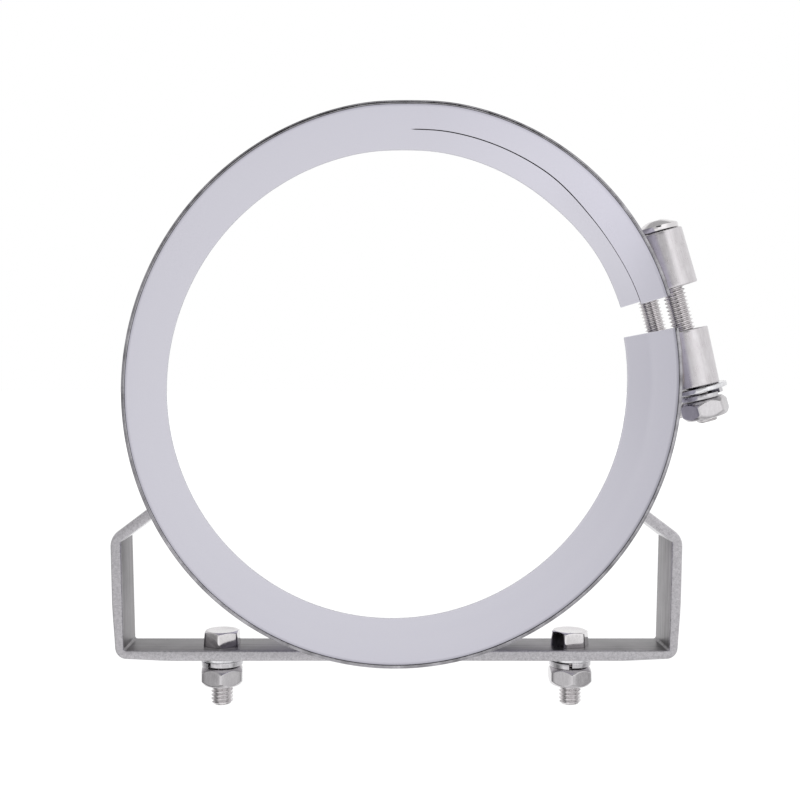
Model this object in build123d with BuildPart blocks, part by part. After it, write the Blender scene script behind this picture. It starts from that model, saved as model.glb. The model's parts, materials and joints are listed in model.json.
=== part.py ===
from build123d import *
import math
import os

# Two-bolt stainless pipe clamp on a bent flat-bar foot.
# The origin is on the pipe's axis at the middle of the band's width. The pipe runs along Y.
# Angles round the pipe are in degrees from +X towards +Z. Lengths are in millimetres.

# Pipe and band
PIPE_D = 139.7
BAND_T = 1.0
BAND_WIDTH = 55.0
BAND_LOWER_END = 11.6
BAND_UPPER_END = 18.2
SLIT_ROOT = 87.0
SLIT_WIDTH = 0.4
FLEX_ANGLE = 184.5
FLEX_CLEARANCE = 0.2

# Clamp bolts: their axes cross the radius at BOLT_LINE, square to it
BOLT_LINE = 15.0
BOLT_OFFSET = 75.2
BOLT_Y = 13.75
LUG_D = 12.0
LUG_BORE = 8.0
LUG_LENGTH = 14.9
LUG_START = 5.7
LUG_EDGE = 0.3
LUG_SHIFT = {"upper": 0.35, "lower": -0.35}
LUG_TILT = {"upper": 1.2, "lower": -2.8}
HEAD_PLAY = 0.5
WASHER_PLAY = 0.35

# M6 fasteners
THREAD_D = 6.0
THREAD_END = 0.7
CLAMP_BOLT_LENGTH = 51.3
DOME_D = 11.0
DOME_RIM = 1.3
DOME_HEIGHT = 3.1
SOCKET_AF = 4.0
SOCKET_DEPTH = 1.8
BASE_BOLT_LENGTH = 16.0
HEAD_AF = 9.5
HEAD_HEIGHT = 4.0
NUT_AF = 11.0
NUT_HEIGHT = 5.0
NUT_BORE = 6.1
HEX_CHAMFER = 0.5
CLAMP_WASHER_D = 14.0
CLAMP_WASHER_T = 1.2
BASE_WASHER_D = 12.0
BASE_WASHER_T = 1.0
WASHER_BORE = 6.4
SPRING_WASHER_D = 11.2
SPRING_WASHER_BORE = 6.3
SPRING_SPLIT = 0.8
CLAMP_SPRING_T = 2.0
BASE_SPRING_T = 1.9
NUT_PLAY = 0.05

# Foot, bent from one flat bar
FOOT_X = -1.0
BAR_WIDTH = 15.0
BAR_T = 2.8
BASE_TOP = -71.4
ELBOW_HALF = 76.6
CORNER_HALF = 76.2
ELBOW_Z = -41.0
ELBOW_RADIUS = 5.5
CORNER_RADIUS = 4.2
ARM_SLOPE = 37.0
ARM_REACH = 22.0
BASE_BOLT_HALF = 47.6
BASE_HOLE_D = 6.6

# Weld beads
PAD_HEIGHT = 2.2
PAD_WIDTH = 15.0
PAD_CHAMFER = 1.3
PAD_NEAR = 5.1
PAD_FAR = 16.4
BEAD_RADIUS = 1.9

BAND_INNER_R = PIPE_D / 2
BAND_OUTER_R = BAND_INNER_R + BAND_T
BASE_BOTTOM = BASE_TOP - BAR_T
SIDES = {"front": -BOLT_Y, "rear": BOLT_Y}
BASE_BOLTS = {"left": FOOT_X - BASE_BOLT_HALF, "right": FOOT_X + BASE_BOLT_HALF}
HEAD_TURNS = {"left": 28.0, "right": 8.0}
NUT_TURNS = {"left": 36.0, "right": 29.0, "front": -1.6, "rear": 21.0}
SPLIT_TURNS = {"left": -30.0, "right": -7.0, "front": 37.0, "rear": 140.0}


def clamp_plane(y, height):
    """The plane square to a clamp bolt, height above the radius at BOLT_LINE, towards the head."""
    line = math.radians(BOLT_LINE)
    outward = Vector(math.cos(line), 0, math.sin(line))
    up = Vector(-math.sin(line), 0, math.cos(line))
    return Plane(outward * BOLT_OFFSET + Vector(0, y, 0) + up * height, x_dir=outward, z_dir=up)


def lug_plane(place, y):
    """The plane across the middle of the upper or lower lug, which leans a little off the bolt's axis."""
    height = LUG_START + LUG_LENGTH / 2
    middle = clamp_plane(y, height if place == "upper" else -height)
    lean = math.radians(BOLT_LINE + LUG_TILT[place])
    return Plane(
        middle.origin + middle.x_dir * LUG_SHIFT[place],
        x_dir=(math.cos(lean), 0, math.sin(lean)),
        z_dir=(-math.sin(lean), 0, math.cos(lean)),
    )


def base_plane(x, z):
    """The plane square to a base bolt at height z, facing up."""
    return Plane((x, 0, z), x_dir=(1, 0, 0), z_dir=(0, 0, 1))


def axial_plane(plane):
    """A plane through the plane's own axis: local x runs out from it and local y along it."""
    return Plane(plane.origin, x_dir=plane.x_dir, z_dir=-plane.y_dir)


def make_band(label, start, end, slit):
    """One arc of the rolled band, from angle start to end, slit at mid-width up to SLIT_ROOT."""
    with BuildPart() as band:
        with BuildSketch(Plane.XZ):
            with BuildLine():
                outside = CenterArc((0, 0), BAND_OUTER_R, start, end - start)
                inside = CenterArc((0, 0), BAND_INNER_R, start, end - start)
                Line(outside @ 0, inside @ 0)
                Line(outside @ 1, inside @ 1)
            make_face()
        extrude(amount=BAND_WIDTH / 2, both=True)
        if slit:
            with BuildSketch(Plane.XZ):
                with BuildLine():
                    root = PolarLine((0, 0), BAND_OUTER_R + 1, SLIT_ROOT)
                    mouth = PolarLine((0, 0), BAND_OUTER_R + 1, start - 1)
                    ThreePointArc(
                        root @ 1,
                        Vector(BAND_OUTER_R + 1, 0).rotate(Axis.Z, (SLIT_ROOT + start) / 2),
                        mouth @ 1,
                    )
                make_face()
            extrude(amount=SLIT_WIDTH / 2, both=True, mode=Mode.SUBTRACT)
    band.part.label = label
    return band


def make_lug(label, place, y):
    """A tube round the clamp bolt, cut to lie on the band."""
    with BuildPart() as lug:
        with BuildSketch(lug_plane(place, y)):
            Circle(LUG_D / 2)
            Circle(LUG_BORE / 2, mode=Mode.SUBTRACT)
        extrude(amount=LUG_LENGTH / 2, both=True)
        chamfer(lug.edges().filter_by(GeomType.CIRCLE), LUG_EDGE)
        with BuildSketch(Plane.XZ):
            Circle(BAND_OUTER_R)
        extrude(amount=BAND_WIDTH / 2, both=True, mode=Mode.SUBTRACT)
    lug.part.label = label
    return lug


def make_lug_welds(label, place, start, end):
    """The welds that seat one front and one rear lug on the band between two angles."""
    with BuildPart() as welds:
        for y in SIDES.values():
            with BuildSketch(Plane.XZ.offset(-y)):
                with BuildLine():
                    outside = CenterArc((0, 0), BAND_OUTER_R + PAD_HEIGHT, start, end - start)
                    inside = CenterArc((0, 0), BAND_OUTER_R, start, end - start)
                    Line(outside @ 0, inside @ 0)
                    Line(outside @ 1, inside @ 1)
                make_face()
            extrude(amount=PAD_WIDTH / 2, both=True)
        crests = welds.edges().filter_by(GeomType.CIRCLE).filter_by(
            lambda edge: edge.radius > BAND_OUTER_R + PAD_HEIGHT / 2
        )
        chamfer(crests, PAD_CHAMFER)
        for y in SIDES.values():
            with BuildSketch(lug_plane(place, y)):
                Circle(LUG_D / 2)
            extrude(amount=LUG_LENGTH, both=True, mode=Mode.SUBTRACT)
    welds.part.label = label
    return welds


def make_clamp_bolt(label, y):
    """A long bolt with a low domed head and a hexagon socket."""
    seat = clamp_plane(y, LUG_START + LUG_LENGTH + HEAD_PLAY)
    rise = DOME_HEIGHT - DOME_RIM
    cap_radius = ((DOME_D / 2) ** 2 + rise**2) / (2 * rise)
    rim_angle = math.degrees(math.acos(DOME_D / 2 / cap_radius))
    with BuildPart() as bolt:
        with BuildSketch(axial_plane(seat)):
            with BuildLine():
                Polyline((0, 0), (DOME_D / 2, 0), (DOME_D / 2, DOME_RIM))
                CenterArc((0, DOME_HEIGHT - cap_radius), cap_radius, rim_angle, 90 - rim_angle)
                Line((0, DOME_HEIGHT), (0, 0))
            make_face()
        revolve(axis=Axis(seat.origin, seat.z_dir))
        with BuildSketch(seat.offset(DOME_HEIGHT)):
            RegularPolygon(SOCKET_AF / 2, 6, major_radius=False)
        extrude(amount=-SOCKET_DEPTH, mode=Mode.SUBTRACT)
        with BuildSketch(seat):
            Circle(THREAD_D / 2)
        extrude(amount=-CLAMP_BOLT_LENGTH)
        tip = bolt.edges().filter_by(GeomType.CIRCLE).sort_by(Axis(seat.origin, seat.z_dir))[0]
        chamfer(tip, THREAD_END)
    bolt.part.label = label
    return bolt


def make_base_bolt(label, x, turn):
    """A short hexagon-head bolt that points down through the base strip."""
    seat = base_plane(x, BASE_TOP)
    corner = HEAD_AF / math.sqrt(3)
    with BuildPart() as bolt:
        with BuildSketch(seat):
            RegularPolygon(HEAD_AF / 2, 6, major_radius=False, rotation=turn)
        extrude(amount=HEAD_HEIGHT)
        with BuildSketch(axial_plane(seat)):
            with BuildLine():
                Polyline(
                    (0, 0),
                    (corner, 0),
                    (corner, HEAD_HEIGHT - HEX_CHAMFER),
                    (HEAD_AF / 2, HEAD_HEIGHT),
                    (0, HEAD_HEIGHT),
                    close=True,
                )
            make_face()
        revolve(axis=Axis(seat.origin, seat.z_dir), mode=Mode.INTERSECT)
        with BuildSketch(seat):
            Circle(THREAD_D / 2)
        extrude(amount=-BASE_BOLT_LENGTH)
        tip = bolt.edges().filter_by(GeomType.CIRCLE).sort_by(Axis.Z)[0]
        chamfer(tip, THREAD_END)
    bolt.part.label = label
    return bolt


def make_nut(label, underside, turn):
    """A hexagon nut with both faces chamfered, standing on the plane underside."""
    corner = NUT_AF / math.sqrt(3)
    with BuildPart() as nut:
        with BuildSketch(underside):
            RegularPolygon(NUT_AF / 2, 6, major_radius=False, rotation=turn)
        extrude(amount=NUT_HEIGHT)
        with BuildSketch(axial_plane(underside)):
            with BuildLine():
                Polyline(
                    (NUT_BORE / 2, 0),
                    (NUT_AF / 2, 0),
                    (corner, HEX_CHAMFER),
                    (corner, NUT_HEIGHT - HEX_CHAMFER),
                    (NUT_AF / 2, NUT_HEIGHT),
                    (NUT_BORE / 2, NUT_HEIGHT),
                    close=True,
                )
            make_face()
        revolve(axis=Axis(underside.origin, underside.z_dir), mode=Mode.INTERSECT)
    nut.part.label = label
    return nut


def make_flat_washer(label, underside, diameter, thickness):
    """A plain round washer standing on the plane underside."""
    with BuildPart() as washer:
        with BuildSketch(underside):
            Circle(diameter / 2)
            Circle(WASHER_BORE / 2, mode=Mode.SUBTRACT)
        extrude(amount=thickness)
    washer.part.label = label
    return washer


def make_spring_washer(label, underside, thickness, turn):
    """A split spring washer standing on the plane underside, its split turned from the front."""
    with BuildPart() as washer:
        with BuildSketch(underside):
            Circle(SPRING_WASHER_D / 2)
            Circle(SPRING_WASHER_BORE / 2, mode=Mode.SUBTRACT)
            with PolarLocations(SPRING_WASHER_D / 2, 1, start_angle=turn - 90):
                Rectangle(SPRING_WASHER_D / 2, SPRING_SPLIT, mode=Mode.SUBTRACT)
        extrude(amount=thickness)
    washer.part.label = label
    return washer


def make_foot_profile():
    """The bent bar seen along the pipe: base strip, two legs and two arms that slope in."""
    slope = math.radians(ARM_SLOPE)
    tip_half = ELBOW_HALF - ARM_REACH * math.cos(slope)
    tip_z = ELBOW_Z + ARM_REACH * math.sin(slope)
    with BuildSketch(Plane.XZ) as profile:
        with BuildLine():
            outer_face = FilletPolyline(
                (FOOT_X - tip_half, tip_z),
                (FOOT_X - ELBOW_HALF, ELBOW_Z),
                (FOOT_X - CORNER_HALF, BASE_BOTTOM),
                (FOOT_X + CORNER_HALF, BASE_BOTTOM),
                (FOOT_X + ELBOW_HALF, ELBOW_Z),
                (FOOT_X + tip_half, tip_z),
                radius=(ELBOW_RADIUS, CORNER_RADIUS, CORNER_RADIUS, ELBOW_RADIUS),
            )
            offset(outer_face, amount=BAR_T, side=Side.LEFT, closed=True)
        make_face()
        Circle(BAND_OUTER_R, mode=Mode.SUBTRACT)
    return profile


def make_foot(label):
    """The mounting foot: one flat bar, bent, with a hole for each base bolt."""
    profile = make_foot_profile()
    with BuildPart() as foot:
        extrude(profile.sketch, amount=BAR_WIDTH / 2, both=True)
        with BuildSketch(base_plane(0, BASE_TOP)):
            with Locations(*[(x, 0) for x in BASE_BOLTS.values()]):
                Circle(BASE_HOLE_D / 2)
        extrude(amount=-BAR_T, mode=Mode.SUBTRACT)
    foot.part.label = label
    return foot


def reach_band(x, z, run, rise):
    """Where a line from (x, z) along (run, rise) first meets the band's outer surface."""
    along = x * run + z * rise
    distance = -along - math.sqrt(along**2 - x**2 - z**2 + BAND_OUTER_R**2)
    return (x + distance * run, z + distance * rise)


def make_foot_welds(label):
    """A bead above and below each arm of the foot, where it meets the band."""
    profile = make_foot_profile()
    slope = math.radians(ARM_SLOPE)
    corners = []
    for side in (-1, 1):
        run = -side * math.cos(slope)
        rise = math.sin(slope)
        top_x = FOOT_X + side * ELBOW_HALF
        corners.append(reach_band(top_x, ELBOW_Z, run, rise))
        under_x = top_x - side * BAR_T * math.sin(slope)
        under_z = ELBOW_Z - BAR_T * math.cos(slope)
        corners.append(reach_band(under_x, under_z, run, rise))
    with BuildPart() as welds:
        with BuildSketch(Plane.XZ):
            with Locations(*corners):
                Circle(BEAD_RADIUS)
            Circle(BAND_OUTER_R, mode=Mode.SUBTRACT)
        extrude(amount=BAR_WIDTH / 2, both=True)
        extrude(profile.sketch, amount=BAR_WIDTH / 2, both=True, mode=Mode.SUBTRACT)
    welds.part.label = label
    return welds


def make_clamp_fasteners(side, y):
    """One clamp bolt with the washers and nut below the lower lug."""
    flat_top = -LUG_START - LUG_LENGTH - WASHER_PLAY
    spring_top = flat_top - CLAMP_WASHER_T
    nut_top = spring_top - CLAMP_SPRING_T - NUT_PLAY
    flat = clamp_plane(y, spring_top)
    spring = clamp_plane(y, spring_top - CLAMP_SPRING_T)
    nut = clamp_plane(y, nut_top - NUT_HEIGHT)
    return [
        make_clamp_bolt(f"clamp_bolt_{side}", y),
        make_flat_washer(f"clamp_flat_washer_{side}", flat, CLAMP_WASHER_D, CLAMP_WASHER_T),
        make_spring_washer(
            f"clamp_spring_washer_{side}", spring, CLAMP_SPRING_T, SPLIT_TURNS[side]
        ),
        make_nut(f"clamp_nut_{side}", nut, NUT_TURNS[side]),
    ]


def make_base_fasteners(side, x):
    """One base bolt with the washers and nut below the base strip."""
    spring_top = BASE_BOTTOM - BASE_WASHER_T
    nut_top = spring_top - BASE_SPRING_T
    flat = base_plane(x, spring_top)
    spring = base_plane(x, nut_top)
    nut = base_plane(x, nut_top - NUT_HEIGHT)
    return [
        make_base_bolt(f"base_bolt_{side}", x, HEAD_TURNS[side]),
        make_flat_washer(f"base_flat_washer_{side}", flat, BASE_WASHER_D, BASE_WASHER_T),
        make_spring_washer(
            f"base_spring_washer_{side}", spring, BASE_SPRING_T, SPLIT_TURNS[side]
        ),
        make_nut(f"base_nut_{side}", nut, NUT_TURNS[side]),
    ]


flex_half = math.degrees(FLEX_CLEARANCE / 2 / BAND_INNER_R)
upper_weld = (BOLT_LINE + PAD_NEAR, BOLT_LINE + PAD_FAR)
lower_weld = (BOLT_LINE - PAD_FAR, BOLT_LINE - PAD_NEAR)

pieces = [
    make_band("band_upper", BAND_UPPER_END, FLEX_ANGLE - flex_half, slit=True),
    make_band("band_lower", FLEX_ANGLE + flex_half, 360 + BAND_LOWER_END, slit=False),
    make_lug_welds("lug_welds_upper", "upper", *upper_weld),
    make_lug_welds("lug_welds_lower", "lower", *lower_weld),
    make_foot("mounting_foot"),
    make_foot_welds("foot_welds"),
]
for side, y in SIDES.items():
    for place in ("upper", "lower"):
        pieces.append(make_lug(f"lug_{place}_{side}", place, y))
    pieces += make_clamp_fasteners(side, y)
for side, x in BASE_BOLTS.items():
    pieces += make_base_fasteners(side, x)

os.makedirs("parts", exist_ok=True)
for piece in pieces:
    export_step(piece.part, f"parts/{piece.part.label}.step")
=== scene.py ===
import json
import math

import bmesh
import bpy
from mathutils import Matrix, Vector


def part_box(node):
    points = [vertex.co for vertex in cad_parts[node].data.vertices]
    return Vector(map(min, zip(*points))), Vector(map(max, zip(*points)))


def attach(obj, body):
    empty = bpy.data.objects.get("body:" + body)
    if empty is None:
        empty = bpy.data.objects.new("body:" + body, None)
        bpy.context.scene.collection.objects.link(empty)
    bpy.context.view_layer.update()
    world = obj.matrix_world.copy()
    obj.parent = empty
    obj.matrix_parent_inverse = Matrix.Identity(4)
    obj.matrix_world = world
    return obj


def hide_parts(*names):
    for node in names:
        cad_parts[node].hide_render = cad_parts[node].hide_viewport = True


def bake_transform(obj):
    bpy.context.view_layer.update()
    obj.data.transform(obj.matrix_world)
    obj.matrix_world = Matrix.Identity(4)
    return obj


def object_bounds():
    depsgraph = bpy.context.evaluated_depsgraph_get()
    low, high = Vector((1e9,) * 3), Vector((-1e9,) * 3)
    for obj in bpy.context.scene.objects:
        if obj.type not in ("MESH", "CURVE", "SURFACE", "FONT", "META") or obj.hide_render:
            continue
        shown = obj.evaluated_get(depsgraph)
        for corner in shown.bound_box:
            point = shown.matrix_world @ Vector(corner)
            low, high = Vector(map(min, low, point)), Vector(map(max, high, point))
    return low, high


# Two-bolt stainless pipe clamp on a bent flat-bar foot.
# Meshes are worked out in millimetres and scaled to metres once, when they are finished.
# Angles round the pipe are in degrees from +X towards +Z.
MM = 0.001

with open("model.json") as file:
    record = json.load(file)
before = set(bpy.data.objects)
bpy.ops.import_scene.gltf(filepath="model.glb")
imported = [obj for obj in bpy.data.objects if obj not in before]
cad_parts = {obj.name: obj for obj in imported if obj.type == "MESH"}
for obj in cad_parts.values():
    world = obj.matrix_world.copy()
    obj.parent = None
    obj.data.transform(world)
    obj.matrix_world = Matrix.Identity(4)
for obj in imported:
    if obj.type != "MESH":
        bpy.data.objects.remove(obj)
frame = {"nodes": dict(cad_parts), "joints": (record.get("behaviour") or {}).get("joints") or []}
cad_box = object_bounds()
scene = bpy.context.scene
joints = {joint["name"]: joint for joint in frame["joints"]}

# Band
BAND_R = 70.85
BAND_T = 1.0
BAND_HALF = 27.5
BAND_LOWER_END = 11.6
BAND_UPPER_END = 18.2
BAND_EDGE = 0.28
# How far in from the band's front rim the painted shade reaches, in mm
RIM_WIDTH = 3.0
# The band is sprung into a slight oval: OVAL longer than round along OVAL_ANGLE, as much shorter across
SPRUNG_IN = 0.25
OVAL = 1.0
OVAL_ANGLE = 60.0
TOP_LIMIT = 70.95
TOP_SOFTNESS = 0.35
SLIT_ROOT = 87.5
SLIT_ROOT_LENGTH = 1.2
SLIT_WIDTH = 1.1
SLIT_NARROWING = 0.25
SLIT_EDGE = 0.08
SLIT_DIP = 0.85
REAR_TAPER = 0.2
REAR_TONGUE_LIFT = 0.75
LIFT_AT_SLIT = 0.1
LOWER_END_DROOP = 0.45
REAR_TONGUE_SHORTER = 0.6
# Where each of these changes begins and is complete, in degrees round the pipe
DIP_BEGINS = (16, 36)
DIP_ENDS = (56, 40)
LIFT_REACH = (52, 30)
DROOP_REACH = (-25, 0)
NARROWING_REACH = (50, 32)

# Clamp bolts and lugs
BOLT_LINE = 15.0
LUG_R = 6.0
LUG_BORE_R = 4.0
LUG_LENGTH = 14.9
LUG_START = 5.7
LUG_EDGE = 0.3
LUG_SHIFT = {"upper": 0.35, "lower": -0.35}
LUG_TILT = {"upper": 1.2, "lower": -2.8}
LUG_SINK = 0.3

# Weld beads. A lug's beads run between two angles off the bolt line, in degrees.
# A bead's size is its half width and half height.
LUG_BEAD_NEAR = 5.0
LUG_BEAD_FAR = 14.4
LUG_BEAD_BULGE = 0.9
LUG_BEAD_NEAR_Y = 4.9
LUG_BEAD_FAR_Y = 3.7
LUG_BEAD_LIFT = 0.7
LUG_BEAD_SIZE = (1.75, 1.5)
LUG_BEAD_RIPPLE = 1.1
FOOT_BEAD_LIFT = 0.5
FOOT_BEAD_SIZE = (1.75, 1.6)
FOOT_BEAD_RIPPLE = 1.25
RIPPLE_HEIGHT = 0.05
BEAD_END = 0.08

# M6 fasteners
PITCH = 1.0
THREAD_R = 2.97
ROOT_R = 2.42
TIP_R = 2.3
DOME_R = 5.5
DOME_RIM = 1.3
DOME_HEIGHT = 3.1
DOME_TOP_R = 1.6
DOME_BEND = 1.25
DOME_TURNS = {"front": 12.0, "rear": 40.0}
SOCKET_AF = 4.0
SOCKET_DEPTH = 1.8
HEAD_AF = 9.5
HEAD_DRAFT = 0.06
NUT_AF = 11.0
NUT_BORE_R = 3.03
HEX_CORNER_LOSS = 0.16
HEX_SOFTNESS = 0.05
# The share of the flats that the end face spans, the chamfer's slope in degrees and its edge's rounding
HEX_CHAMFERS = {"head": (0.965, 26.0, 0.11), "nut": (0.93, 50.0, 0.22)}
WASHER_EDGE = 0.22
WIRE_EDGE = 0.2
CLAMP_WASHER_SHIFT = 0.2
CLAMP_WIRE = 1.25
BASE_WIRE = 1.45
FLAT_WASHER_BORE_R = 3.2
SPRING_WASHER_R = 5.6
SPRING_WASHER_BORE_R = 3.15
SPRING_SPLIT = 9.0
HEAD_TURNS = {"left": 28.0, "right": 8.0}
NUT_TURNS = {"left": 36.0, "right": 29.0, "front": -1.6, "rear": 21.0}
SPLIT_TURNS = {"left": -30.0, "right": -7.0, "front": 37.0, "rear": 140.0}

# Foot
FOOT_X = -1.0
BAR_HALF = 7.5
BAR_T = 2.8
BAR_EDGE = 0.4
BASE_BOTTOM = -74.2
ELBOW_HALF = 76.6
CORNER_HALF = 75.7
ELBOW_Z = -41.0
ELBOW_RADIUS = 5.0
CORNER_RADIUS = 3.5
BEND_THINNING = 0.6
STRETCH_REACH = 17.0
ARM_SLOPE = 37.0
ARM_REACH = 22.0
ARM_BACK = 8.0
ARM_SINK = 0.4
ARM_CLEAR = 1.5
STRIP_TOP = -60.0
HOLE_R = 3.3
HOLE_EDGE = 0.3

# Studio: the tent's brightness at azimuths from the camera's side towards +X, in degrees
TENT_R = 1.1
TENT_HEIGHT = 1.0
TENT_FLOOR = -0.3
TENT_SKIRT = -0.16
CARD_PLACE = (0, -0.6, 0.2)
CARD_HALF = (0.16, 0.13)
TENT_WALL_LEVELS = (
    (-180, 1.0), (-171, 0.98), (-162, 0.75), (-140, 0.76), (-110, 0.85), (-85, 0.7), (-40, 0.65),
    (-12, 0.72), (-4, 1.0), (2, 1.35), (30, 1.35), (60, 1.0), (90, 1.0), (180, 1.0),
)
TENT_FLOOR_LEVELS = (
    (-180, 1.05), (-168, 1.3), (-150, 1.3), (-110, 0.66), (-84, 0.3), (-70, 0.3), (-58, 0.6),
    (-44, 1.2), (-4, 1.15), (8, 0.92), (46, 0.95), (62, 0.95), (72, 0.45), (84, 0.6), (100, 0.85),
    (130, 1.0), (180, 1.05),
)
TENT_ROOF_LEVELS = ((-180, 0.5), (180, 0.5))
TENT_HUB = 0.02
FLOOR_HALF = 12
FLOOR_GLOW = 0.94

# Camera
LENS = 50
SENSOR = 36
LENS_SHIFT = (0.0284, -0.0199)
CAMERA_PLACE = (-0.00612, -0.3045, -0.00009)

# Steel: how much of its mottling is streaks, the noise values that its tones and gloss span, its relief
STREAK_SHARE = 0.55
TONE_LIMITS = (0.32, 0.68)
GLOSS_LIMITS = (0.3, 0.7)
RELIEF = 0.05
# The share of the band's colour left at its front rim: painted shade
RIM_PAINTED_SHADE = 0.72

SHARP_ANGLE = math.radians(38)
MERGE = 0.0004


# ---------------------------------------------------------------- mesh tools

def grid(bm, rows):
    """Joins rows of points, each to the next. A row that closes repeats its first point."""
    made = [[bm.verts.new(point) for point in row] for row in rows]
    for low, high in zip(made, made[1:]):
        for i in range(len(low) - 1):
            bm.faces.new((low[i], low[i + 1], high[i + 1], high[i]))


def closed(points):
    """The points with the first one repeated at the end."""
    return points + points[:1]


def weld(bm):
    """Merges the repeated points and drops the faces that this flattens."""
    bmesh.ops.remove_doubles(bm, verts=bm.verts, dist=MERGE)
    bmesh.ops.dissolve_degenerate(bm, edges=bm.edges, dist=MERGE)
    bmesh.ops.recalc_face_normals(bm, faces=bm.faces)


def make_object(name, bm, materials, place=None):
    """A smooth-shaded object from a mesh in millimetres, set in the frame called place."""
    weld(bm)
    bm.transform(Matrix.Scale(MM, 4) @ (place or Matrix.Identity(4)))
    mesh = bpy.data.meshes.new(name)
    bm.to_mesh(mesh)
    bm.free()
    mesh.shade_smooth()
    mesh.set_sharp_from_angle(angle=SHARP_ANGLE)
    for material in materials:
        mesh.materials.append(material)
    piece = bpy.data.objects.new(name, mesh)
    scene.collection.objects.link(piece)
    return piece


def add_piece(name, bm, materials, body, nodes, place=None):
    """A finished piece that rides on a body and stands for CAD nodes."""
    piece = make_object(name, bm, materials, place)
    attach(piece, body)
    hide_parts(*nodes)
    return piece


def smoothstep(value):
    """0 below 0, 1 above 1, and a smooth rise between."""
    value = min(max(value, 0.0), 1.0)
    return value * value * (3 - 2 * value)


def rising(value, span):
    """A smooth rise from 0 where the span starts to 1 where it ends, whichever way the span runs."""
    start, end = span
    return smoothstep((value - start) / (end - start))


def spaced(start, end, count):
    """count + 1 even values from start to end."""
    return [start + (end - start) * i / count for i in range(count + 1)]


def place_frame(origin, x_axis, z_axis):
    """The matrix of a frame from its origin, x axis and z axis."""
    y_axis = z_axis.cross(x_axis)
    rotation = Matrix((x_axis, y_axis, z_axis)).transposed()
    return Matrix.Translation(origin) @ rotation.to_4x4()


def clamp_place(side):
    """The frame of a clamp bolt: z towards its head, from where the pipe's radius meets it squarely."""
    spin = joints[f"clamp_nut_{side}_spin"]
    up = Vector(spin["axis"]).normalized()
    point = Vector(spin["pos_m"]) / MM
    foot = point - up * up.dot(Vector((point.x, 0, point.z)))
    outward = Vector((foot.x, 0, foot.z)).normalized()
    return place_frame(foot, outward, up)


def base_place(side):
    """The frame of a base bolt: z up, at the height of the pipe's axis."""
    x, y, _ = joints[f"base_nut_{side}_spin"]["pos_m"]
    return Matrix.Translation(Vector((x, y, 0)) / MM)


def lug_place(place, side):
    """The frame of a lug, at its middle. It leans a little off its bolt."""
    height = LUG_START + LUG_LENGTH / 2
    height = height if place == "upper" else -height
    lean = Matrix.Rotation(math.radians(-LUG_TILT[place]), 4, "Y")
    return clamp_place(side) @ Matrix.Translation((LUG_SHIFT[place], 0, height)) @ lean


def reach(node, place):
    """How low and how high a CAD node reaches along the z axis of a frame."""
    inverse = place.inverted()
    heights = [(inverse @ (vertex.co / MM)).z for vertex in frame["nodes"][node].data.vertices]
    return min(heights), max(heights)


# ---------------------------------------------------------------- band

def band_radius(angle, y=0.0):
    """The outer radius of the band: a slight oval, with its two tongues and lower end sprung."""
    turn = math.radians(angle)
    past = (angle + 180) % 360 - 180
    rearward = max(y, 0) / BAND_HALF
    radius = BAND_R - SPRUNG_IN - REAR_TAPER * rearward
    radius += OVAL * math.cos(2 * math.radians(angle - OVAL_ANGLE))
    if BOLT_LINE < past < SLIT_ROOT:
        dip = rising(past, DIP_BEGINS) * rising(past, DIP_ENDS)
        radius -= SLIT_DIP * dip * (1 - abs(y) / BAND_HALF)
        if y > 0:
            share = LIFT_AT_SLIT + (1 - LIFT_AT_SLIT) * rearward
            radius += REAR_TONGUE_LIFT * rising(past, LIFT_REACH) * share
    elif past < BOLT_LINE:
        radius -= LOWER_END_DROOP * rearward * rising(past, DROOP_REACH)
    height = radius * math.sin(turn)
    if height > 0:
        kept = TOP_LIMIT - TOP_SOFTNESS * math.log1p(math.exp((TOP_LIMIT - height) / TOP_SOFTNESS))
        radius *= kept / height
    return radius


def on_band(angle, y, depth):
    """The point at an angle round the pipe, depth below the band's outer surface."""
    radius = band_radius(angle, y) - depth
    turn = math.radians(angle)
    return Vector((radius * math.cos(turn), y, radius * math.sin(turn)))


def half_section(side, near, inset, columns):
    """Half of the sheet's section: from y = near on the outside, round its edge, to near on the inside."""
    low, high = inset, BAND_T - inset
    edge_y = BAND_HALF - inset
    radius = max(BAND_EDGE - inset, 0.02)
    outer = [(y, low) for y in spaced(near, edge_y - radius, columns)[:-1]]
    round_end = []
    for depth, start in ((low + radius, -90), (high - radius, 0)):
        for bend in spaced(start, start + 90, 3):
            turn = math.radians(bend)
            round_end.append((edge_y - radius + radius * math.cos(turn), depth + radius * math.sin(turn)))
    inner = [(y, high) for y in spaced(edge_y - radius, near, columns)[1:]]
    return [(side * y, depth) for y, depth in outer + round_end + inner]


def slit_wall(side, slit, slit_edge, inset):
    """The wall of the slit, from its inner corner to its outer corner."""
    low, high = inset, BAND_T - inset
    near = slit + inset
    points = [(near, high - slit_edge), (near, (low + high) / 2), (near, low + slit_edge)]
    return [(side * y, depth) for y, depth in points]


def slit_half(angle):
    """Half the width of the slit at an angle: widest near its root and nearly closed lower down."""
    opening = smoothstep((SLIT_ROOT - angle) / SLIT_ROOT_LENGTH)
    closing = 1 - SLIT_NARROWING * rising(angle, NARROWING_REACH)
    return SLIT_WIDTH / 2 * opening * closing


def rounded_end(angle, direction, section_at):
    """Rows that round off an end of the sheet and close it."""
    rows = []
    for bend in spaced(90, 0, 3):
        turn = math.radians(bend)
        inset = BAND_EDGE * (1 - math.sin(turn))
        along = BAND_EDGE * (1 - math.cos(turn))
        shifted = angle + direction * math.degrees(along / BAND_R)
        rows.append([on_band(shifted, y, depth) for y, depth in closed(section_at(angle, inset))])
    middle_y = sum(point.y for point in rows[-1]) / len(rows[-1])
    rows.append([on_band(angle, middle_y, BAND_T / 2)] * len(rows[0]))
    return rows


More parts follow.
